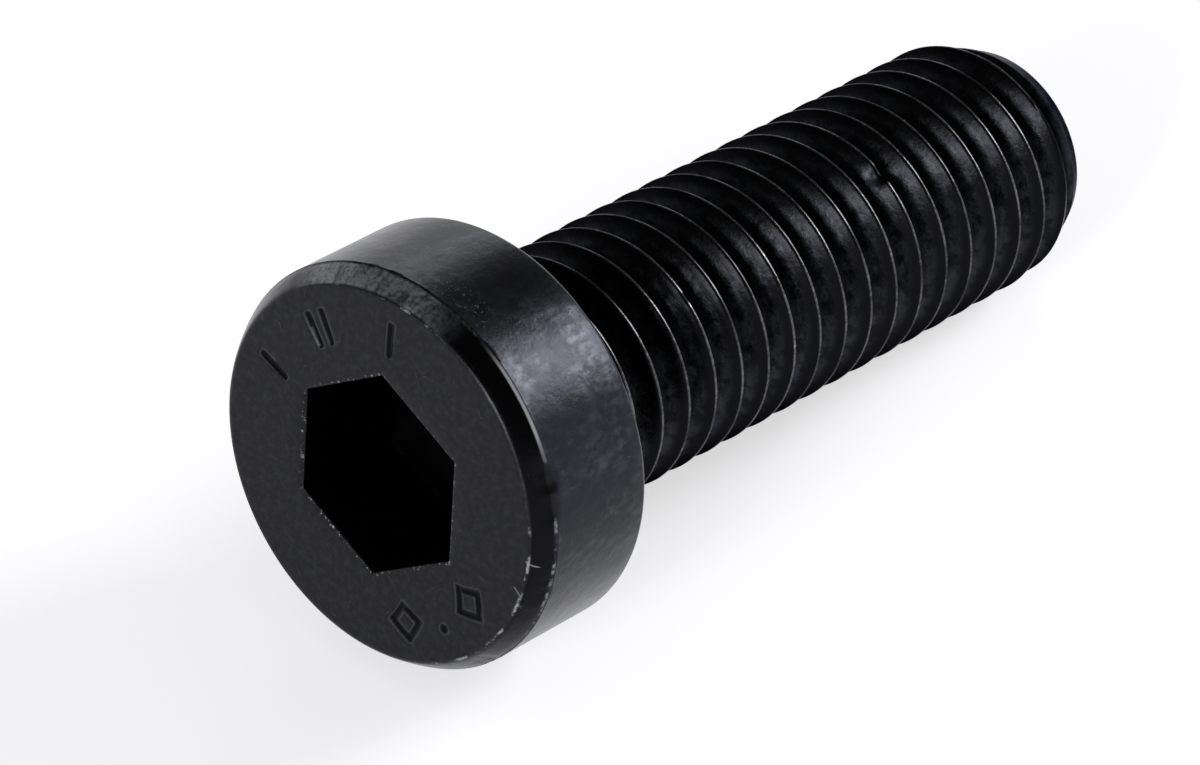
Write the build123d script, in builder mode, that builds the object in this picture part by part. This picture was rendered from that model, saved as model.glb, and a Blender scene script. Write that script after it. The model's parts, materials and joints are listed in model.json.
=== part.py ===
"""Low head socket cap screw, M10 x 1.5, 30 mm long, with a hexagon socket.

One piece of steel, with a forged head and a rolled thread. It is modelled
upright, its head's face on the XY plane and its shank along +Z, and then laid
on its side as it comes to rest: on the rim of its head and on the last full
crest of its thread. The head then looks along -Y and the tip along +Y.
"""

import os
from math import asin, atan2, cos, floor, hypot, radians, sin, tan

from build123d import *

# Head
head_diameter = 15.6
head_height = 5.7
face_bevel_width = 0.55
face_bevel_depth = 0.85
back_rim_radius = 0.25
under_head_radius = 0.6

# Hexagon socket, with the shallow cone that its punch leaves
socket_width = 7.03
socket_depth = 4.7
socket_cone_angle = 15.0
socket_turn = 29.0

# Shank and thread
shank_length = 30.0
thread_size = 10.0
thread_crest_diameter = 9.85
thread_pitch = 1.5
thread_phase = 1.286
neck_diameter = 9.0
neck_length = 1.2
runout_length = 1.5
point_length = 2.0
tip_edge_break = 0.15

# Worked out from the sizes above
head_radius = head_diameter / 2
neck_radius = neck_diameter / 2
seat_radius = neck_radius + under_head_radius
crest_radius = thread_crest_diameter / 2
total_length = head_height + shank_length
neck_end = head_height + neck_length
runout_end = neck_end + runout_length
point_start = total_length - point_length

# Metric thread profile, 60 degrees between its flanks
flank_slope = tan(radians(30))
root_radius = (thread_size - 1.22687 * thread_pitch) / 2
overlap = 0.1


def half_width(radius):
    """Half of the ridge's width at a radius, along the screw's axis."""
    return thread_pitch / 16 + (thread_size / 2 - radius) * flank_slope


# The turned blank: head, neck, run-out cone and thread root, with its socket
cone_height = socket_width / 2 * tan(radians(socket_cone_angle))

with BuildPart() as blank:
    with BuildSketch(Plane.XZ):
        with BuildLine():
            Polyline(
                (0, 0),
                (head_radius - face_bevel_width, 0),
                (head_radius, face_bevel_depth),
                (head_radius, head_height),
                (neck_radius, head_height),
                (neck_radius, neck_end),
                (root_radius, runout_end),
                (root_radius, total_length - tip_edge_break),
                (root_radius - tip_edge_break, total_length),
                (0, total_length),
                close=True,
            )
        make_face()
    revolve(axis=Axis.Z)
    seat_edges = blank.edges().filter_by_position(Axis.Z, head_height, head_height)
    seat_edges = seat_edges.sort_by(SortBy.RADIUS)
    fillet(seat_edges[0], radius=under_head_radius)
    fillet(seat_edges[-1], radius=back_rim_radius)
    with BuildSketch(Plane.XY):
        RegularPolygon(socket_width / 2, 6, major_radius=False, rotation=socket_turn)
    extrude(amount=socket_depth, mode=Mode.SUBTRACT)
    with BuildSketch(Plane.XZ):
        with BuildLine():
            Polyline(
                (0, socket_depth),
                (socket_width / 2, socket_depth),
                (0, socket_depth + cone_height),
                close=True,
            )
        make_face()
    revolve(axis=Axis.Z, mode=Mode.SUBTRACT)

# The thread's ridge, one turn of it repeated. It rises out of the neck along the
# run-out, and the point's cone takes it down into the root again before the tip
ridge_start = head_height + thread_phase - thread_pitch
ridge_turns = floor((total_length - ridge_start) / thread_pitch) + 1
inner_radius = root_radius - overlap
outer_radius = crest_radius + overlap
point_slope = (crest_radius - inner_radius) / (point_length - overlap)

with BuildPart() as turn:
    with BuildLine() as path:
        Helix(pitch=thread_pitch, height=thread_pitch, radius=inner_radius)
    with BuildSketch(Plane.XZ):
        with BuildLine():
            Polyline(
                (inner_radius, -half_width(inner_radius)),
                (crest_radius, -half_width(crest_radius)),
                (crest_radius, half_width(crest_radius)),
                (inner_radius, half_width(inner_radius)),
                close=True,
            )
        make_face()
    sweep(path=path.line, is_frenet=True)

with BuildPart() as envelope:
    with BuildSketch(Plane.XZ):
        with BuildLine():
            Polyline(
                (0, ridge_start - thread_pitch),
                (neck_radius - overlap, ridge_start - thread_pitch),
                (neck_radius - overlap, neck_end),
                (outer_radius, runout_end),
                (outer_radius, point_start - overlap / point_slope),
                (inner_radius, total_length - overlap),
                (0, total_length - overlap),
                close=True,
            )
        make_face()
    revolve(axis=Axis.Z)

ridge = []
for number in range(ridge_turns):
    placed_turn = Pos(0, 0, ridge_start + number * thread_pitch) * turn.part
    ridge += (placed_turn & envelope.part).solids()

# At rest it touches the floor with its back rim and with the last full crest
# that faces down, a quarter turn on from the crests that face +X
rim_centre_radius = head_radius - back_rim_radius
rim_centre_height = head_height - back_rim_radius
crest_half = half_width(crest_radius)
full_turns = floor((point_start - crest_half - ridge_start) / thread_pitch - 0.25)
crest_edge = ridge_start + thread_pitch * (full_turns + 0.25) + crest_half
run = crest_edge - rim_centre_height
drop = rim_centre_radius - crest_radius
rest_tilt = atan2(drop, run) + asin(back_rim_radius / hypot(run, drop))

# The head's face centre, with the origin under the middle of the lying screw
tip_radius = root_radius - tip_edge_break
front_reach = (head_radius - face_bevel_width) * sin(rest_tilt)
back_reach = total_length * cos(rest_tilt) + tip_radius * sin(rest_tilt)
face_centre = (
    0,
    (front_reach - back_reach) / 2,
    rim_centre_height * sin(rest_tilt)
    + rim_centre_radius * cos(rest_tilt)
    + back_rim_radius,
)
lying = Plane(
    origin=face_centre,
    x_dir=(1, 0, 0),
    z_dir=(0, cos(rest_tilt), -sin(rest_tilt)),
)

with BuildPart(lying) as cap_screw:
    add(blank.part)
    add(ridge)

os.makedirs("parts", exist_ok=True)
cap_screw.part.label = "cap_screw"
export_step(cap_screw.part, "parts/cap_screw.step")
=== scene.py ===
"""Looks of the low head socket cap screw: black oxide steel, worn at its edges, with some shade,
highlights and reflections painted in.

The screw is modelled upright in millimetres, its head's face at the origin and
its shank along +Z, and is then laid down where the CAD model lies.
"""

import json
from math import atan2, ceil, cos, pi, radians, sin, tan

import bpy
from mathutils import Matrix, Vector


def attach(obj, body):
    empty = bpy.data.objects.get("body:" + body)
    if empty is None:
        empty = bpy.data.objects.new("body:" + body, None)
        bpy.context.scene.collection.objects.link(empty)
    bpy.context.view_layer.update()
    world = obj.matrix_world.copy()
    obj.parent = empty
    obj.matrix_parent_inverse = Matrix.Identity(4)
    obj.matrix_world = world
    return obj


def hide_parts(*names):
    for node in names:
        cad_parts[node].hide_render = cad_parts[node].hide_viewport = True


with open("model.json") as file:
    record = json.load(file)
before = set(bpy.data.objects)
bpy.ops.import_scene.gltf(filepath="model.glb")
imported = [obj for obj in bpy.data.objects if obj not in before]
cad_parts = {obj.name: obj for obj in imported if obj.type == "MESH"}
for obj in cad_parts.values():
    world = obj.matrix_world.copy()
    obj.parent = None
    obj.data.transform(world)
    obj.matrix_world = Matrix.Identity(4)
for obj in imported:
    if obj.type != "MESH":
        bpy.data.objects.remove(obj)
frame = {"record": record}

bl_info = {
    "name": "Low head socket cap screw",
    "version": (1, 0, 0),
    "blender": (4, 5, 0),
    "location": "View3D > Sidebar > Cap screw",
    "description": "Models a blackened cap screw and the light it lies in",
    "category": "Object",
}

MM = 0.001
FULL_CIRCLE = 2 * pi


def mount(name):
    """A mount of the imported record."""
    return next(m for m in frame["record"]["mounts"] if m["name"] == name)


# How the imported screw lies: its axis, the height in mm of its head's mount over
# the face, the middle of the face, and the rotation that lays it down
AXIS = Vector(mount("thread")["axis"]).normalized()
HEAD_MOUNT_HEIGHT = 3.15
FACE_CENTRE = Vector(mount("head")["pos_m"]) - AXIS * HEAD_MOUNT_HEIGHT * MM
LAID_DOWN = (-(pi / 2 + atan2(-AXIS.z, AXIS.y)), 0, 0)


def linear(code):
    """An sRGB hex colour as linear red, green and blue."""
    parts = [int(code[i : i + 2], 16) / 255 for i in (1, 3, 5)]
    return tuple(c / 12.92 if c <= 0.04045 else ((c + 0.055) / 1.055) ** 2.4 for c in parts)


def length(name, value, description):
    """A length property, in millimetres."""
    return bpy.props.FloatProperty(
        name=name, default=value, min=0.0, description=description + ", in mm"
    )


def colour(name, code, description):
    """A colour property, from its sRGB hex value."""
    return bpy.props.FloatVectorProperty(
        name=name,
        subtype="COLOR",
        size=3,
        min=0.0,
        max=1.0,
        default=linear(code),
        description=description,
    )


class ScrewHeadSizes(bpy.types.PropertyGroup):
    radius: length("Radius", 7.8, "Radius of the head's round side")
    height: length("Height", 5.7, "Height of the head")
    bevel_width: length("Bevel width", 0.55, "Radial width of the bevel round the face")
    bevel_depth: length("Bevel depth", 0.85, "Axial depth of the bevel round the face")
    rim_radius: length("Back rim", 0.25, "Radius of the head's back rim")
    socket_width: length("Socket width", 7.03, "Width of the hexagon across its flats")
    socket_depth: length("Socket depth", 4.7, "Depth of the hexagon's walls")
    socket_turn: bpy.props.FloatProperty(
        name="Socket turn",
        subtype="ANGLE",
        default=radians(29.0),
        description="Angle of the hexagon's first corner from the +X side",
    )
    stamp_depth: length("Stamp depth", 0.11, "Depth of the stamped marks in the face")


class ScrewThreadSizes(bpy.types.PropertyGroup):
    crest_radius: length("Crest radius", 4.925, "Radius at the thread's crests")
    root_radius: length("Root radius", 4.08, "Radius at the thread's roots")
    crest_width: length("Crest width", 0.15, "Width of the flat on the thread's crests")
    pitch: length("Pitch", 1.5, "Distance from crest to crest")
    phase: length("Phase", 1.286, "First crest's distance from the head on the +X side")
    neck_radius: length("Neck radius", 4.5, "Radius of the plain neck under the head")
    neck_length: length("Neck length", 1.2, "Length of the plain neck")
    runout: length("Run-out", 1.5, "Length over which the thread fades into the neck")
    shank: length("Shank", 30.0, "Length from under the head to the tip")
    point_radius: length("Point radius", 4.02, "Radius of the tip's end")
    point_length: length("Point length", 2.0, "Length of the tip's cone")


class ScrewFinish(bpy.types.PropertyGroup):
    face: colour("Face", "#262628", "Reflection of the blackened face")
    side: colour("Side", "#292a2f", "Reflection of the head's blackened side")
    # Painted dark reflection: the bevel, the same oxide as the face, is given a darker colour in
    # place of the darker things it reflects
    thread: colour("Thread", "#151517", "Reflection of the oiled, blackest steel of the thread")
    bevel: colour("Bevel", "#17171a", "Reflection of the bevel where the oxide is whole")
    rubbed: colour("Rubbed oxide", "#484b50", "Reflection where the oxide is rubbed thin")
    crest: colour("Thread crests", "#6c6c70", "Reflection of the thread's rubbed crests")
    steel: colour("Bare steel", "#b4b6b9", "Reflection of bare steel at the worn edges")
    # Painted shade: the socket and the floors of the stamped marks are painted near black in place
    # of the shade inside them
    socket_and_groove_shade: colour("Socket and marks", "#0a0a0b", "Reflection of the deep socket and the grooves")


class StageSettings(bpy.types.PropertyGroup):
    floor: colour("Floor", "#d8d8dc", "Colour of the floor")
    back: colour("Background", "#ffffff", "Background that the camera sees")


# Small helpers for work in edit mode


def start_piece(name):
    """Name the new primitive, set its origin at the world's and begin to edit it."""
    bpy.ops.object.transform_apply(location=True, rotation=True, scale=True)
    piece = bpy.context.active_object
    piece.name = name
    piece.data.name = name
    bpy.ops.object.mode_set(mode="EDIT")
    return piece


def deselect_objects():
    """Leave edit mode and deselect every object."""
    if bpy.context.mode != "OBJECT":
        bpy.ops.object.mode_set(mode="OBJECT")
    bpy.ops.object.select_all(action="DESELECT")


def extrude(offset=(0, 0, 0)):
    """Extrude what is selected by an offset."""
    bpy.ops.mesh.extrude_region_move(TRANSFORM_OT_translate={"value": offset})


def run_rings(points):
    """Extrude the selected loop through a list of (radius, height) points."""
    for before, after in zip(points, points[1:]):
        extrude((0, 0, after[1] - before[1]))
        factor = after[0] / before[0]
        bpy.ops.transform.resize(value=(factor, factor, 1), center_override=(0, 0, 0))


def close_cap(offset=(0, 0, 0)):
    """Close the selected loop in one point."""
    extrude(offset)
    bpy.ops.mesh.merge(type="CENTER")


def select_open_edges(piece, test):
    """Select the open edges of a piece in edit mode whose vertices pass a test."""
    bpy.ops.mesh.select_mode(type="EDGE")
    bpy.ops.mesh.select_all(action="DESELECT")
    bpy.ops.mesh.select_non_manifold(
        extend=False,
        use_wire=False,
        use_multi_face=False,
        use_non_contiguous=False,
        use_verts=False,
    )
    bpy.ops.object.mode_set(mode="OBJECT")
    mesh = piece.data
    for edge in mesh.edges:
        if edge.select and not all(test(mesh.vertices[i].co) for i in edge.vertices):
            edge.select = False
            for i in edge.vertices:
                mesh.vertices[i].select = False
    bpy.ops.object.mode_set(mode="EDIT")


# Small helpers for profiles and for dents


def arc(centre, radius, start, end, steps):
    """Points of a profile's arc, angles in degrees from the radial direction."""
    for i in range(steps + 1):
        angle = radians(start + (end - start) * i / steps)
        yield centre[0] + radius * cos(angle), centre[1] + radius * sin(angle)


def rows(start, end, count):
    """Even steps from a start, which is left out, to an end."""
    return [start + (end - start) * i / count for i in range(1, count + 1)]


def smooth(low, high, value):
    """0 below low, 1 above high, with a soft step between."""
    t = min(max((value - low) / (high - low), 0.0), 1.0)
    return t * t * (3 - 2 * t)


def fading(flat, way):
    """1 up to a flat share of the way, and then down to 0 at its end."""
    return 1 - smooth(flat, 1.0, way)


def around(angle, turn, radius):
    """Distance along a circle from a place given in degrees."""
    return ((angle - radians(turn) + pi) % FULL_CIRCLE - pi) * radius


def hexagon_radius(angle, apothem, turn):
    """Distance from the axis to a hexagon's wall at an angle."""
    off = (angle - turn) % (pi / 3) - pi / 6
    return apothem / cos(off)


# The head. Sizes are in mm, and places round the axis in degrees from +X

HEAD_COLUMNS = 360

# The seat under the head: its fillet to the neck, its rings, and a last one at the rim
SEAT_FILLET = 0.6
SEAT_FILLET_STEPS = 8
SEAT_RINGS = (6.0, 7.0)
RIM_LEAD = 0.05
RIM_STEPS = 6

# Rows of the side: wide ones to the height where chips begin, and close ones from there
# to a last one just before the bevel
SIDE_ROWS = 6
CHIPPED_FROM = 1.5
CHIPPED_ROWS = 6
BEVEL_LEAD = 0.14

# The bevel's profile, as shares of its way to the face and how far it sags there, and
# the way in which it sags, inwards and away from the face. A ring of the soft edge and
# the first of the flat face follow, by how far they lie in from the face's edge
BEVEL = (
    (-0.06, 0.035),
    (0.0, 0.045),
    (0.07, 0.03),
    (0.18, 0.01),
    (0.36, 0.0),
    (0.55, 0.0),
    (0.75, 0.0),
    (0.9, 0.012),
)
SAG_WAY = (0.84, 0.54)
FACE_EDGE = (0.05, 0.012)
FACE_LEAD = 0.14
FACE_ROWS = 28

# The socket: the rounded edge of its mouth, its walls, and the cone of its punch
MOUTH_RADIUS = 0.14
MOUTH_STEPS = 4
WALL_ROWS = 12
CONE_ANGLE = 15
CONE_RINGS = (0.97, 0.8, 0.6, 0.4, 0.2)

# The plain stamped marks: the ring of the face that they lie in, and the circle of
# their middles. Bars run along the radius, side by side where there are offsets
STAMP_INNER = 4.45
STAMP_OUTER = 7.05
MARK_RADIUS = 5.65
BARS = ((-156.0, (0.0,)), (-123.0, (-0.33, 0.33)), (-88.0, (0.0,)))
BAR_HALF_LENGTH = 0.68
DIAMONDS = (71.5, 35.0)
DIAMOND_SIZE = 0.46
LINE_HALF_WIDTH = 0.11
DOT = 53.5
DOT_CIRCLE = MARK_RADIUS + 0.35
DOT_RADIUS = 0.16
STAMP_EDGE = (-0.06, 0.09)

# Chips along the bevel: turn, half length, depth, and how ragged they are
CHIPS = (
    (-21.0, 0.9, 0.2, 0.12),
    (-13.0, 0.8, 0.13, 0.1),
    (-58.0, 0.7, 0.05, 0.3),
    (12.0, 0.9, 0.04, 0.4),
    (48.0, 0.8, 0.04, 0.4),
    (-97.0, 1.3, 0.04, 0.5),
)
CHIP_FLAT = 0.25
CHIP_WAVES = (61, 37)

# A chip starts a little below the face, is full at the bevel's foot, and reaches no
# deeper and no further in than this. It is cut square to the bevel, whose outward
# normal has a radial part and a part towards the face
CHIP_START = 0.05
CHIP_FULL = 0.85
CHIP_REACH = 1.6
CHIP_INNER = 6.9
BEVEL_NORMAL = (0.84, 0.543)


def stamped_bar(r, along):
    """How far a point lies outside a straight bar."""
    return max(abs(r) - BAR_HALF_LENGTH, abs(along) - LINE_HALF_WIDTH)


def stamped_diamond(r, along):
    """How far a point lies outside the line of a diamond."""
    return abs((abs(r) + abs(along)) * 0.7071 - DIAMOND_SIZE) - LINE_HALF_WIDTH


def stamp(angle, r):
    """Depth of the plain stamped marks at a point of the face, from 0 to 1."""
    out = 1.0
    for turn, offsets in BARS:
        along = around(angle, turn, MARK_RADIUS)
        for offset in offsets:
            out = min(out, stamped_bar(r - MARK_RADIUS, along - offset))
    for turn in DIAMONDS:
        out = min(out, stamped_diamond(r - MARK_RADIUS, around(angle, turn, MARK_RADIUS)))
    from_dot = ((r - DOT_CIRCLE) ** 2 + around(angle, DOT, DOT_CIRCLE) ** 2) ** 0.5
    out = min(out, from_dot - DOT_RADIUS)
    return 1 - smooth(*STAMP_EDGE, out)


def chip_depth(angle, r):
    """How deep the bevel is chipped at an angle."""
    deepest = 0.0
    for turn, half_length, depth, ragged in CHIPS:
        off = abs(around(angle, turn, r)) / half_length
        waves = sin(angle * CHIP_WAVES[0]) * sin(angle * CHIP_WAVES[1])
        deepest = max(deepest, depth * fading(CHIP_FLAT, off) * (1 + ragged * waves))
    return deepest


class HeadOperator(bpy.types.Operator):
    """Model the head with its hexagon socket, down to the neck"""

    bl_idname = "mesh.screw_head"
    bl_label = "Screw head"

    def execute(self, context):
        head = context.scene.screw_head
        neck = context.scene.screw_thread.neck_radius
        deselect_objects()
        bpy.ops.mesh.primitive_circle_add(
            vertices=HEAD_COLUMNS, radius=neck, location=(0, 0, head.height + SEAT_FILLET)
        )
        piece = start_piece("screw_head_shell")
        bpy.ops.mesh.select_all(action="SELECT")
        run_rings(self.outline(head, neck))
        self.sink_socket(piece, head)
        bpy.ops.object.mode_set(mode="OBJECT")
        self.shape_face(piece, head)
        return {"FINISHED"}

    def outline(self, head, neck):
        """The head's outline as (radius, height), from the neck round to the marks."""
        rim = head.rim_radius
        face_radius = head.radius - head.bevel_width
        fillet_centre = (neck + SEAT_FILLET, head.height + SEAT_FILLET)
        points = [(neck, fillet_centre[1])]
        points += list(arc(fillet_centre, SEAT_FILLET, 180, 270, SEAT_FILLET_STEPS))[1:]
        points += [(r, head.height) for r in (*SEAT_RINGS, head.radius - rim - RIM_LEAD)]
        points += arc((head.radius - rim, head.height - rim), rim, 90, 0, RIM_STEPS)
        side = rows(head.height - rim, CHIPPED_FROM, SIDE_ROWS)
        side += rows(CHIPPED_FROM, head.bevel_depth + BEVEL_LEAD, CHIPPED_ROWS)
        points += [(head.radius, height) for height in side]
        corner = Vector((head.radius, head.bevel_depth))
        to_face = Vector((-head.bevel_width, -head.bevel_depth))
        for share, sag in BEVEL:
            point = corner + to_face * share
            points.append((point.x - sag * SAG_WAY[0], point.y + sag * SAG_WAY[1]))
        face_start = face_radius - FACE_LEAD
        points += [(face_radius - FACE_EDGE[0], FACE_EDGE[1]), (face_start, 0.0)]
        face_end = STAMP_INNER - 0.05
        return points + [(r, 0.0) for r in rows(face_start, face_end, FACE_ROWS)]

    def sink_socket(self, piece, head):
        """Extrude the selected loop of the face into the hexagon and its cone."""
        apothem = head.socket_width / 2
        self.hexagon_ring(piece, head, apothem + MOUTH_RADIUS, 0.0)
        for i in range(1, MOUTH_STEPS + 1):
            angle = radians(90 * i / MOUTH_STEPS)
            inset = MOUTH_RADIUS * (1 - sin(angle))
            self.hexagon_ring(piece, head, apothem + inset, MOUTH_RADIUS * (1 - cos(angle)))
        for depth in rows(MOUTH_RADIUS, head.socket_depth, WALL_ROWS):
            self.hexagon_ring(piece, head, apothem, depth)
        slope = tan(radians(CONE_ANGLE))
        for share in CONE_RINGS:
            depth = head.socket_depth + apothem * (1 - share) * slope
            self.hexagon_ring(piece, head, apothem * share, depth)
        close_cap((0, 0, apothem * CONE_RINGS[-1] * slope))

    def hexagon_ring(self, piece, head, apothem, height):
        """Extrude the selected loop and set it to a hexagon at a height."""
        extrude()
        bpy.ops.object.mode_set(mode="OBJECT")
        for vert in piece.data.vertices:
            if vert.select:
                angle = atan2(vert.co.y, vert.co.x)
                r = hexagon_radius(angle, apothem, head.socket_turn)
                vert.co = (r * cos(angle), r * sin(angle), height)
        bpy.ops.object.mode_set(mode="EDIT")

    def shape_face(self, piece, head):
        """Press the stamped marks into the face and knock the chips out of its bevel."""
        for vert in piece.data.vertices:
            r = (vert.co.x**2 + vert.co.y**2) ** 0.5
            angle = atan2(vert.co.y, vert.co.x)
            if vert.co.z < 0.001 and STAMP_INNER < r < STAMP_OUTER:
                vert.co.z += head.stamp_depth * stamp(angle, r)
            if r > CHIP_INNER and CHIP_START < vert.co.z < CHIP_REACH:
                chip = chip_depth(angle, r) * smooth(CHIP_START, CHIP_FULL, vert.co.z)
                cut = chip + self.above_bevel(head, r, vert.co.z)
                if chip > 0 and cut > 0:
                    vert.co.x *= (r - cut * BEVEL_NORMAL[0]) / r
                    vert.co.y *= (r - cut * BEVEL_NORMAL[0]) / r
                    vert.co.z += cut * BEVEL_NORMAL[1]

    def above_bevel(self, head, r, z):
        """How far a point lies outside the bevel's cone."""
        return (r - head.radius + head.bevel_width) * BEVEL_NORMAL[0] - z * BEVEL_NORMAL[1]


# The thread. Sizes are in mm

THREAD_STEPS = 160
FLANK_ANGLE = 30
MERGE_DISTANCE = 0.0005

# The winding starts in a root, this many pitches before the first crest
LEAD_PITCHES = 2.5

# Where the shell of the shank is cut off under the head, how far before the neck's end
# the thread begins to rise, and the rings of the tip: in from its radius, back from its end
NECK_CUT = 0.68
FADE_LEAD = 0.4
TIP_BREAK = 0.15
TIP_RINGS = ((0.0, TIP_BREAK), (0.05, 0.05), (0.16, 0.0), (0.4, 0.0), (1.4, 0.0), (2.8, 0.0))

# Dents in the crests: turn in degrees, height, half length and depth
DENTS = (
    (-57.0, 24.6, 0.45, 0.14),
    (-49.0, 12.6, 0.3, 0.05),
    (-30.0, 27.5, 0.35, 0.05),
    (140.0, 18.0, 0.5, 0.08),
)
DENT_HALF_WIDTH = 0.45
DENT_REACH = 0.4


def thread_profile(thread):
    """One pitch of the thread as (radius, height), from root to root, its edges rolled."""
    slope = tan(radians(FLANK_ANGLE))
    half = thread.pitch / 2
    crest, root = thread.crest_radius, thread.root_radius
    crest_half = thread.crest_width / 2
    root_half = half - crest_half - (crest - root) * slope
    rounded_root = [
        (root, 0.0),
        (root + 0.005, root_half * 0.5),
        (root + 0.025, root_half * 0.85),
        (root + 0.075, root_half + 0.02),
        (root + 0.16, root_half + 0.09),
    ]
    flank = [
        (root + 0.36, root_half + 0.36 * slope),
        (crest - 0.26, half - crest_half - 0.26 * slope),
    ]
    rolled_crest = [
        (crest - 0.07, half - crest_half - 0.07 * slope + 0.002),
        (crest - 0.02, half - crest_half + 0.003),
        (crest - 0.002, half - crest_half * 0.55),
        (crest, half),
    ]
    side = rounded_root + flank + rolled_crest
    return side + [(r, thread.pitch - z) for r, z in side[-2::-1]]


def dent_depth(angle, r, height):
    """How deep the crests are dented at a place."""
    dented = 0.0
    for turn, dent_height, half_length, depth in DENTS:
        off = abs(around(angle, turn, r)) / half_length
        aside = abs(height - dent_height) / DENT_HALF_WIDTH
        dented += depth * fading(0.1, off) * fading(0.3, aside)
    return dented


class ThreadOperator(bpy.types.Operator):
    """Model the threaded shank from one pitch of its profile, down to the tip"""

    bl_idname = "mesh.screw_thread"
    bl_label = "Screw thread"

    def execute(self, context):
        head = context.scene.screw_head
        thread = context.scene.screw_thread
        deselect_objects()
        total = head.height + thread.shank
        start = head.height + thread.phase - LEAD_PITCHES * thread.pitch
        profile = thread_profile(thread)
        # A speck of a face, merged to the point that the profile starts from
        bpy.ops.mesh.primitive_plane_add(size=0.01, location=(profile[0][0], 0, start))
        piece = start_piece("screw_shank_shell")
        bpy.ops.mesh.merge(type="CENTER")
        for before, after in zip(profile, profile[1:]):
            extrude((after[0] - before[0], 0, after[1] - before[1]))
        bpy.ops.object.mode_set(mode="OBJECT")
        winding = piece.modifiers.new("thread", "SCREW")
        winding.screw_offset = thread.pitch
        winding.iterations = ceil((total - start) / thread.pitch) + 1
        winding.steps = THREAD_STEPS
        winding.render_steps = THREAD_STEPS
        winding.use_merge_vertices = True
        winding.merge_threshold = MERGE_DISTANCE
        winding.use_normal_calculate = True
        bpy.ops.object.modifier_apply(modifier=winding.name)
        self.fade_ends(piece, head, thread, total)
        bpy.ops.object.mode_set(mode="EDIT")
        bpy.ops.mesh.select_all(action="SELECT")
        bpy.ops.mesh.remove_doubles(threshold=MERGE_DISTANCE)
        neck_cut = head.height + NECK_CUT
        self.cut_off(neck_cut, clear_inner=True)
        self.cut_off(total - TIP_BREAK, clear_outer=True)
        select_open_edges(piece, lambda co: co.z > neck_cut + 1)
        run_rings([(thread.point_radius - r, total - back) for r, back in TIP_RINGS])
        close_cap()
        bpy.ops.object.mode_set(mode="OBJECT")
        return {"FINISHED"}

    def cut_off(self, height, **side):
        """Cut the shell square to its axis and clear one side of the cut."""
        bpy.ops.mesh.select_all(action="SELECT")
        bpy.ops.mesh.bisect(plane_co=(0, 0, height), plane_no=(0, 0, 1), **side)

    def fade_ends(self, piece, head, thread, total):
        """Fade the thread into the neck, turn the cone on the tip and dent the crests."""
        neck_end = head.height + thread.neck_length
        slope = (thread.crest_radius - thread.point_radius) / thread.point_length
        cone_start = total - thread.point_length
        for vert in piece.data.vertices:
            r = (vert.co.x**2 + vert.co.y**2) ** 0.5
            fade = smooth(neck_end - FADE_LEAD, neck_end + thread.runout, vert.co.z)
            wanted = thread.neck_radius + (r - thread.neck_radius) * fade
            cone = thread.crest_radius - slope * (vert.co.z - cone_start)
            wanted = min(wanted, max(cone, thread.point_radius))
            if r > thread.crest_radius - DENT_REACH:
                wanted -= dent_depth(atan2(vert.co.y, vert.co.x), r, vert.co.z)
            vert.co.x *= wanted / r
            vert.co.y *= wanted / r


class JoinOperator(bpy.types.Operator):
    """Join head and shank into one piece of steel and lay it down"""

    bl_idname = "mesh.screw_join"
    bl_label = "Join screw"

    def execute(self, context):
        scene = context.scene
        deselect_objects()
        shell = bpy.data.objects["screw_head_shell"]
        shank = bpy.data.objects["screw_shank_shell"]
        shell.select_set(True)
        shank.select_set(True)
        context.view_layer.objects.active = shell
        bpy.ops.object.transform_apply(location=True, rotation=True, scale=True)
        bpy.ops.object.join()
        piece = context.view_layer.objects.active
        piece.name = "cap_screw_steel"
        piece.data.name = "cap_screw_steel"
        bpy.ops.object.mode_set(mode="EDIT")
        select_open_edges(piece, lambda co: True)
        bpy.ops.mesh.bridge_edge_loops()
        bpy.ops.mesh.select_all(action="SELECT")
        bpy.ops.mesh.normals_make_consistent(inside=False)
        bpy.ops.object.mode_set(mode="OBJECT")
        bpy.ops.object.shade_smooth_by_angle(angle=radians(40))
        piece.rotation_euler = LAID_DOWN
        piece.scale = (MM, MM, MM)
        piece.location = FACE_CENTRE
        bpy.ops.object.transform_apply(location=True, rotation=True, scale=True)
        piece.data.materials.clear()
        oxide = black_oxide(scene.screw_finish, scene.screw_head, scene.screw_thread)
        piece.data.materials.append(oxide)
        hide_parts("cap_screw")
        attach(piece, "root")
        return {"FINISHED"}


# Materials

# A Mix node's two inputs and its output, by index
MIX_SOCKETS = {"FLOAT": (2, 3, 0), "RGBA": (6, 7, 2)}


def new_tree(owner):
    """The empty node tree of a material or world."""
    owner.use_nodes = True
    owner.node_tree.nodes.clear()
    return owner.node_tree


def node(tree, kind, links=None, **settings):
    """Add a node, give it its settings and link or set its inputs."""
    new = tree.nodes.new(kind)
    for name, value in settings.items():
        setattr(new, name, value)
    for name, value in (links or {}).items():
        socket = new.inputs[name]
        if isinstance(value, bpy.types.NodeSocket):
            tree.links.new(value, socket)
        else:
            socket.default_value = value
    return new


def mix_node(tree, kind, amount, a, b):
    """Mix two numbers or colours: an amount of 0 is the first and 1 the second."""
    first, second, result = MIX_SOCKETS[kind]
    links = {0: amount, first: a, second: b}
    return node(tree, "ShaderNodeMix", links, data_type=kind).outputs[result]


# Where the head is worn, or has painted highlights and reflections, round its axis: middle and half
# width of a zone in degrees
OUTER_EDGE_ZONES = ((-45, 40), (5, 34), (-100, 25))
# Painted highlight: the stretch of the outer edge where the back right lamp's highlight falls
EDGE_HIGHLIGHT_ZONE = (-43, 20)
INNER_EDGE_ZONE = (28, 50)
INNER_EDGE_TOP_ZONE = (-95, 30)
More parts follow.
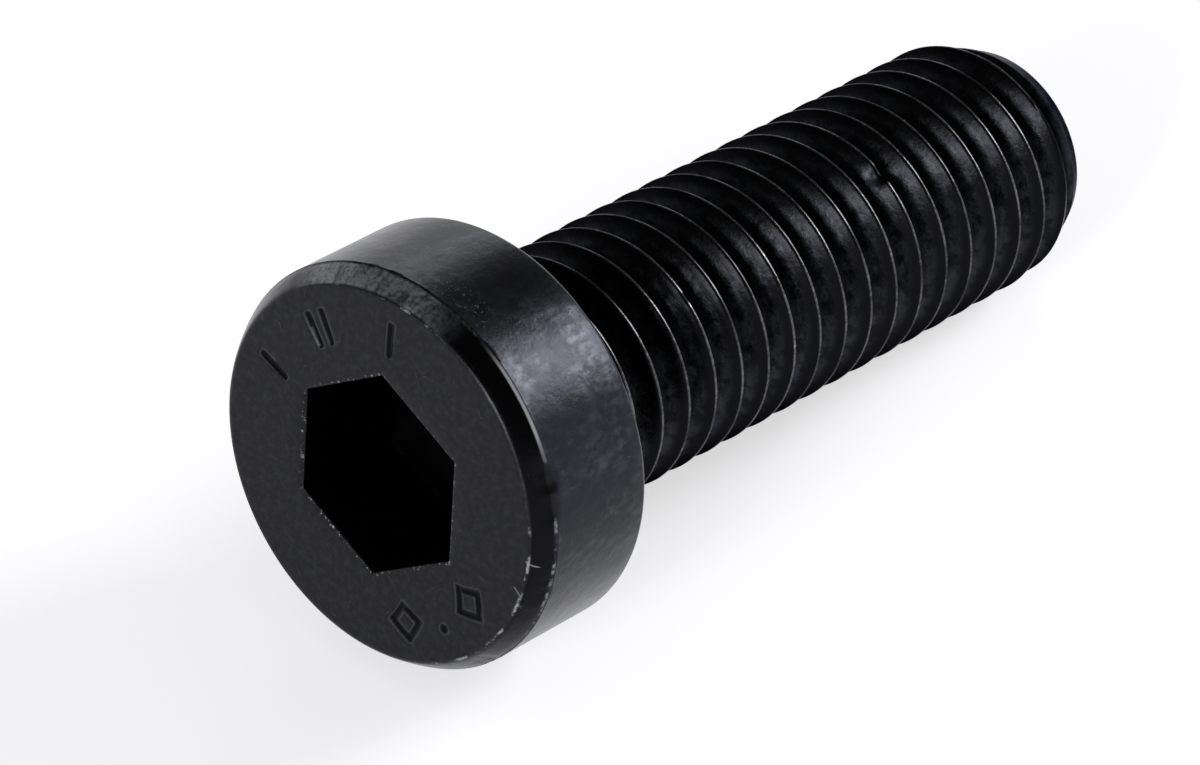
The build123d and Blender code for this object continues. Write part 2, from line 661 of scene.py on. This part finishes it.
# The crescent on the top of the bevel: partly worn streaks, partly a painted reflection of an
# overhead light
CRESCENT_WEAR_AND_REFLECTION_ZONE = (-97, 33)
SCUFFED_ZONE = (-74, 12)

# Scratches on the rim: turn in degrees, radius, slope and half length in mm
STROKES = ((3.5, 7.3, 1.6, 0.12), (14.0, 7.02, 1.9, 0.09))
STROKE_HALF_WIDTH = 0.035

# Height in mm that the noises stand for in the bump
BUMP_HEIGHT = 0.03


def black_oxide(finish, head, thread):
    """Oiled black oxide on steel: dark and satin, and bright where edges are worn bare. Shade is
    painted into the socket and the stamped grooves, highlights onto part of the outer edge and the
    stamps' walls, a reflection into a crescent on the bevel, and a darker reflection onto the whole
    bevel.

    Masks run from 0 to 1. Their limits in radius and height are in mm, and the levels of the noises
    are given.
    """
    material = bpy.data.materials.new("black_oxide_steel")
    tree = new_tree(material)

    def maths(operation, *values):
        return node(tree, "ShaderNodeMath", dict(enumerate(values)), operation=operation).outputs[0]

    def both(*values):
        result = values[0]
        for value in values[1:]:
            result = maths("MULTIPLY", result, value)
        return result

    def most(*values):
        result = values[0]
        for value in values[1:]:
            result = maths("MAXIMUM", result, value)
        return result

    # A soft step from one level to another between two limits, which may fall
    def step(value, low, high, to_low=0.0, to_high=1.0):
        links = {"Value": value, "From Min": low, "From Max": high}
        links |= {"To Min": to_low, "To Max": to_high}
        ranged = node(tree, "ShaderNodeMapRange", links, interpolation_type="SMOOTHSTEP")
        return ranged.outputs["Result"]

    # The screw's own axes, in mm: its axis is Z, its face is at 0
    place = node(
        tree,
        "ShaderNodeMapping",
        {
            "Vector": node(tree, "ShaderNodeTexCoord").outputs["Object"],
            "Location": FACE_CENTRE,
            "Rotation": LAID_DOWN,
            "Scale": (MM, MM, MM),
        },
        vector_type="TEXTURE",
    ).outputs[0]
    axes = node(tree, "ShaderNodeSeparateXYZ", {0: place}).outputs
    flat = node(tree, "ShaderNodeCombineXYZ", {"X": axes["X"], "Y": axes["Y"]}).outputs[0]
    radius = node(tree, "ShaderNodeVectorMath", {0: flat}, operation="LENGTH").outputs["Value"]
    angle = maths("ARCTAN2", axes["Y"], axes["X"])
    height = axes["Z"]

    def noise(scale, detail, rough=0.55, vector=place):
        links = {"Vector": vector, "Scale": scale, "Detail": detail, "Roughness": rough}
        return node(tree, "ShaderNodeTexNoise", links).outputs["Fac"]

    coarse = noise(0.5, 3.0)
    middle = noise(1.7, 4.0)
    fine = noise(6.5, 5.0, 0.65)
    grain = noise(17.0, 3.0, 0.7)
    drawn = node(tree, "ShaderNodeMapping", {"Vector": place, "Scale": (1.0, 1.0, 0.6)})
    streaks = noise(3.2, 4.0, 0.6, drawn.outputs[0])
    seams = noise(0.22, 3.0, 0.6, drawn.outputs[0])

    # A band about an edge given by its radius and height, broken up by noise
    def edge(edge_radius, edge_height, width, wear):
        a = maths("SUBTRACT", radius, edge_radius)
        b = maths("SUBTRACT", height, edge_height)
        squares = maths("ADD", maths("MULTIPLY", a, a), maths("MULTIPLY", b, b))
        near = step(maths("SQRT", squares), width, width * 0.25)
        return both(near, step(middle, 0.66 - wear, 0.78 - wear))

    # A zone round the axis, given by its middle and half its width in degrees
    def zone(turn, half):
        off = maths("ABSOLUTE", maths("SUBTRACT", angle, radians(turn)))
        return step(off, radians(half), radians(half * 0.4))

    # A short straight scratch across the rim
    def stroke(turn, stroke_radius, slope, half):
        along = maths("MULTIPLY", maths("SUBTRACT", angle, radians(turn)), stroke_radius)
        off = maths("MULTIPLY_ADD", along, -slope, maths("SUBTRACT", radius, stroke_radius))
        thin = STROKE_HALF_WIDTH * (1 + slope**2) ** 0.5
        near = step(maths("ABSOLUTE", off), thin, thin * 0.4)
        return both(near, step(maths("ABSOLUTE", along), half, half * 0.8), step(height, 0.75, 0.6))

    # Half the width across flats of the hexagon that a point lies on
    def hexagon(corner):
        sides = []
        for i in range(3):
            way = corner + radians(30 + 60 * i)
            across = maths("MULTIPLY", axes["X"], cos(way))
            sides.append(maths("ABSOLUTE", maths("MULTIPLY_ADD", axes["Y"], sin(way), across)))
        return most(*sides)

    # The regions of the screw
    bevel_depth = head.bevel_depth
    face_radius = head.radius - head.bevel_width
    shank = step(height, head.height + 0.05, head.height + 0.15)
    on_head = maths("SUBTRACT", 1.0, shank)
    on_side = both(
        step(radius, head.radius - 0.12, head.radius - 0.02),
        step(height, head.height, head.height - 0.1),
    )
    on_bevel = both(
        step(height, 0.03, 0.1),
        step(height, bevel_depth + 0.02, bevel_depth - 0.05),
        on_head,
        step(radius, face_radius - 0.15, face_radius - 0.05),
    )
    on_face = step(height, 0.06, 0.02)
    on_crest = both(shank, step(radius, thread.crest_radius - 0.025, thread.crest_radius))
    # Painted shade over the socket's walls and cone
    socket_shade = both(step(radius, 4.35, 4.05), step(height, 0.1, 1.2))
    in_root = both(
        shank,
        step(radius, 4.75, 4.3),
        step(middle, 0.36, 0.58, 0.2, 1.0),
        step(fine, 0.3, 0.6, 0.6, 1.0),
    )
    past_socket = step(radius, STAMP_INNER - 0.1, STAMP_INNER)
    # Painted shade on the floors of the stamped marks
    groove_floor_shade = both(step(height, 0.035, 0.08), past_socket, step(radius, 7.02, 6.98), on_head)
    # Painted highlight: the upper walls of the stamped marks are made lighter, as if they caught
    # the light
    stamp_wall_highlight = both(
        step(height, 0.004, 0.012),
        step(height, 0.05, 0.03),
        past_socket,
        step(radius, 7.02, 6.9),
    )

    # Where the steel is bare: the edges, and scratches, scuffs and rubbed patches, with a painted
    # highlight along part of the outer edge and a painted reflection in the crescent on the bevel
    outer_edge = (head.radius - 0.04, bevel_depth - 0.02)
    outer_zones = most(*(zone(*place) for place in OUTER_EDGE_ZONES), 0.15)
    outer = both(edge(*outer_edge, 0.09, 0.2), outer_zones)
    # Bare steel along the outer edge, partly wear and partly a painted highlight where the lamp's
    # highlight falls
    outer_wear_and_highlight = both(edge(*outer_edge, 0.1, 0.8), zone(*EDGE_HIGHLIGHT_ZONE))
    inner_zones = most(zone(*INNER_EDGE_ZONE), both(zone(*INNER_EDGE_TOP_ZONE), 0.9), 0.04)
    inner = both(edge(face_radius - 0.02, 0.01, 0.09, 0.17), inner_zones)
    back = both(edge(head.radius - 0.05, head.height - 0.06, 0.09, 0.2), 0.7)
    from_mouth = maths("SUBTRACT", hexagon(head.socket_turn), head.socket_width / 2 + 0.09)
    mouth = both(
        step(maths("ABSOLUTE", from_mouth), 0.09, 0.03),
        step(height, 0.2, 0.1),
        step(fine, 0.56, 0.66),
    )
    scratched = both(most(*(stroke(*place) for place in STROKES)), on_head)
    crest = both(on_crest, step(coarse, 0.3, 0.65, 0.3, 1.0), step(fine, 0.3, 0.6, 0.4, 1.0))
    bright_crest = both(crest, step(fine, 0.55, 0.7), step(middle, 0.45, 0.6))
    # Light crescent on the top of the bevel: worn streaks, and a painted reflection of an overhead
    # light
    crescent_wear_and_reflection = both(
        zone(*CRESCENT_WEAR_AND_REFLECTION_ZONE),
        on_bevel,
        step(fine, 0.3, 0.6, 0.4, 1.0),
        step(streaks, 0.3, 0.55, 0.4, 1.0),
    )
    scuffs = both(
        step(fine, 0.59, 0.65),
        step(grain, 0.42, 0.52),
        zone(*SCUFFED_ZONE),
        step(radius, head.radius - 0.1, head.radius - 0.05),
        step(height, 1.0, 1.3),
        step(height, 2.8, 1.8),
    )
    bare = most(
        both(most(both(outer, 0.6), inner, back), step(fine, 0.36, 0.58, 0.05, 0.75)),
        outer_wear_and_highlight,
        both(mouth, 0.6),
        both(scratched, 0.4),
        both(scuffs, 0.7),
        both(bright_crest, 0.5),
        both(crescent_wear_and_reflection, 0.75),
    )

    # Where the oxide is only rubbed thin, and a painted highlight on the upper walls of the stamped
    # marks
    specks = both(step(grain, 0.72, 0.78), step(middle, 0.42, 0.6, 0.05, 1.0), on_head)
    off_seam = maths("ABSOLUTE", maths("SUBTRACT", seams, 0.5))
    scratches = both(step(off_seam, 0.0012, 0.00048), step(middle, 0.5, 0.6), on_head)
    face_wear = both(on_face, step(streaks, 0.42, 0.68), step(fine, 0.3, 0.6, 0.4, 1.0))
    rubbed = most(
        both(on_side, step(streaks, 0.4, 0.68), step(coarse, 0.4, 0.62, 0.15, 1.0), 0.6),
        both(face_wear, 0.2),
        both(specks, 0.8),
        both(crescent_wear_and_reflection, 0.9),
        both(scratches, 0.7),
        both(stamp_wall_highlight, 0.45),
        both(in_root, 0.5),
    )

    # Each layer lies over the ones before it
    layers = (
        (on_side, finish.side),
        # The bevel's darker colour is a painted dark reflection
        (on_bevel, finish.bevel),
        (shank, finish.thread),
        (rubbed, finish.rubbed),
        (crest, finish.crest),
        (bare, finish.steel),
        # The last layer is painted shade in the socket and on the floors of the stamped marks
        (most(socket_shade, both(groove_floor_shade, 0.8)), finish.socket_and_groove_shade),
    )
    tone = (*finish.face, 1)
    for mask, layer in layers:
        tone = mix_node(tree, "RGBA", mask, tone, (*layer, 1))

    head_rough = maths("MULTIPLY_ADD", middle, 0.14, 0.22)
    for mask, more in ((on_face, 0.08), (crescent_wear_and_reflection, 0.2), (outer_wear_and_highlight, 0.3)):
        head_rough = maths("MULTIPLY_ADD", mask, more, head_rough)
    shank_rough = maths("MULTIPLY_ADD", fine, 0.25, 0.12)
    shank_rough = maths("MULTIPLY_ADD", in_root, 0.08, shank_rough)

    relief = maths("ADD", maths("MULTIPLY", fine, 0.28), maths("MULTIPLY", middle, 0.9))
    relief = maths("ADD", relief, maths("MULTIPLY", grain, 0.06))
    bumpy = maths("MULTIPLY_ADD", in_root, 0.4, 0.6)
    bump_links = {"Height": relief, "Strength": bumpy, "Distance": BUMP_HEIGHT * MM}
    shader = node(
        tree,
        "ShaderNodeBsdfPrincipled",
        {
            "Base Color": tone,
            "Metallic": 1.0,
            "Roughness": mix_node(tree, "FLOAT", shank, head_rough, shank_rough),
            "Specular Tint": mix_node(tree, "RGBA", shank, (1, 1, 1, 1), (0.4, 0.4, 0.42, 1)),
            "Normal": node(tree, "ShaderNodeBump", bump_links).outputs[0],
        },
    )
    node(tree, "ShaderNodeOutputMaterial", {"Surface": shader.outputs[0]})
    return material


# The stage. The board shows this much of white by itself and the rest from the lamps.
# The room lights it a little from all sides, slightly blue, and where it is seen it is
# white at the horizon and dark overhead

BOARD_SIZE = 3.0
BOARD_LIFT = 0.6
ROOM_LIGHT = 0.24
ROOM_BLUE = 1.06
HORIZON = 0.05
OVERHEAD = 0.5
CEILING = 0.12

# Square lamps: name, direction from the target, size in m and power in W
LAMP_TARGET = (0, 0, 0.007)
LAMP_DISTANCE = 0.5
LAMPS = (
    ("back_right_softbox", (0.42, 0.755, 0.506), 0.2, 1.3),
    ("front_right_softbox", (0.246, -0.893, 0.378), 0.12, 1.0),
    ("back_left_softbox", (-0.57, 0.72, 0.40), 0.14, 0.12),
)

# The camera, fitted to the photo: angles in degrees, offset from the middle of the
# face in mm, and lens and sensor in mm
CAMERA_AZIMUTH = 41.06
CAMERA_ELEVATION = 35.2
CAMERA_OFFSET = (143.719, -152.878, 151.958)
CAMERA_LENS = 218.28
CAMERA_SENSOR = 36.0


def seen_directly(tree):
    """1 for what the camera, a reflection or glass sees, 0 for what lights a surface."""
    path = node(tree, "ShaderNodeLightPath").outputs
    seen = path["Is Camera Ray"]
    for name in ("Is Glossy Ray", "Is Transmission Ray"):
        links = {0: seen, 1: path[name]}
        seen = node(tree, "ShaderNodeMath", links, operation="MAXIMUM").outputs[0]
    return seen


def plain_floor(stage):
    """White studio board: matt, and lifted to white where it is seen directly."""
    material = bpy.data.materials.new("white_board")
    tree = new_tree(material)
    board = node(tree, "ShaderNodeBsdfDiffuse", {"Color": (*stage.floor, 1)}).outputs[0]
    white = {"Color": (*stage.back, 1), "Strength": BOARD_LIFT}
    glow = node(tree, "ShaderNodeEmission", white).outputs[0]
    lifted = node(tree, "ShaderNodeAddShader", {0: board, 1: glow}).outputs[0]
    shown = node(tree, "ShaderNodeMixShader", {0: seen_directly(tree), 1: board, 2: lifted})
    node(tree, "ShaderNodeOutputMaterial", {"Surface": shown.outputs[0]})
    return material


class StageOperator(bpy.types.Operator):
    """Lay the floor, light it softly and set the camera"""

    bl_idname = "scene.screw_stage"
    bl_label = "Stage"

    def execute(self, context):
        deselect_objects()
        bpy.ops.mesh.primitive_plane_add(size=BOARD_SIZE, location=(0, 0, 0))
        floor = start_piece("floor")
        bpy.ops.mesh.subdivide(number_cuts=3)
        bpy.ops.object.mode_set(mode="OBJECT")
        floor.data.materials.append(plain_floor(context.scene.screw_stage))
        for lamp in LAMPS:
            self.add_lamp(*lamp)
        self.add_room(context.scene)
        self.add_camera(context)
        return {"FINISHED"}

    def add_lamp(self, name, direction, size, power):
        """A soft square lamp that faces the target from a direction."""
        way = Vector(direction).normalized()
        place = Vector(LAMP_TARGET) + way * LAMP_DISTANCE
        bpy.ops.object.light_add(type="AREA", location=place)
        lamp = bpy.context.active_object
        lamp.name = name
        lamp.data.shape = "SQUARE"
        lamp.data.size = size
        lamp.data.energy = power
        lamp.rotation_euler = way.to_track_quat("Z", "Y").to_euler()

    def add_room(self, scene):
        """The world: an even light, and another look where it is seen directly."""
        scene.world = bpy.data.worlds.new("studio")
        tree = new_tree(scene.world)
        way = node(tree, "ShaderNodeTexCoord").outputs["Generated"]
        up = node(tree, "ShaderNodeSeparateXYZ", {0: way}).outputs["Z"]
        look = node(
            tree,
            "ShaderNodeMapRange",
            {
                "Value": up,
                "From Min": HORIZON,
                "From Max": OVERHEAD,
                "To Min": 1.0,
                "To Max": CEILING,
            },
            interpolation_type="SMOOTHSTEP",
        ).outputs["Result"]
        even = (ROOM_LIGHT, ROOM_LIGHT, ROOM_LIGHT * ROOM_BLUE, 1)
        shown = mix_node(tree, "RGBA", seen_directly(tree), even, look)
        shade = node(tree, "ShaderNodeBackground", {"Color": shown, "Strength": 1.0})
        node(tree, "ShaderNodeOutputWorld", {"Surface": shade.outputs[0]})

    def add_camera(self, context):
        """The camera that took the photo, as far as its outlines tell."""
        azimuth = radians(CAMERA_AZIMUTH)
        elevation = radians(CAMERA_ELEVATION)
        right = Vector((cos(azimuth), sin(azimuth), 0))
        level = cos(elevation)
        back = Vector((sin(azimuth) * level, -cos(azimuth) * level, sin(elevation)))
        up = back.cross(right)
        bpy.ops.object.camera_add(location=FACE_CENTRE + Vector(CAMERA_OFFSET) * MM)
        camera = context.active_object
        camera.rotation_euler = Matrix((right, up, back)).transposed().to_euler()
        camera.data.sensor_fit = "HORIZONTAL"
        camera.data.sensor_width = CAMERA_SENSOR
        camera.data.lens = CAMERA_LENS
        camera.data.clip_start = 0.01
        context.scene.view_settings.view_transform = "Standard"
        context.scene.camera = camera


class ScrewPanel(bpy.types.Panel):
    """Sizes, finish, stage and steps of the cap screw"""

    bl_idname = "VIEW3D_PT_cap_screw"
    bl_label = "Cap screw"
    bl_space_type = "VIEW_3D"
    bl_region_type = "UI"
    bl_category = "Cap screw"

    def draw(self, context):
        for group_name in GROUPS:
            group = getattr(context.scene, group_name)
            box = self.layout.box()
            for name in group.__annotations__:
                box.prop(group, name)
        for operator in STEPS:
            self.layout.operator(operator.bl_idname)


STEPS = (HeadOperator, ThreadOperator, JoinOperator, StageOperator)
GROUPS = {
    "screw_head": ScrewHeadSizes,
    "screw_thread": ScrewThreadSizes,
    "screw_finish": ScrewFinish,
    "screw_stage": StageSettings,
}


def register():
    for name, group in GROUPS.items():
        bpy.utils.register_class(group)
        setattr(bpy.types.Scene, name, bpy.props.PointerProperty(type=group))
    for cls in (*STEPS, ScrewPanel):
        bpy.utils.register_class(cls)


def unregister():
    for cls in (ScrewPanel, *reversed(STEPS)):
        bpy.utils.unregister_class(cls)
    for name, group in reversed(GROUPS.items()):
        delattr(bpy.types.Scene, name)
        bpy.utils.unregister_class(group)


def main():
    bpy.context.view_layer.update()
    register()
    bpy.ops.mesh.screw_head()
    bpy.ops.mesh.screw_thread()
    bpy.ops.mesh.screw_join()
    bpy.ops.scene.screw_stage()


if __name__ == "__main__":
    main()
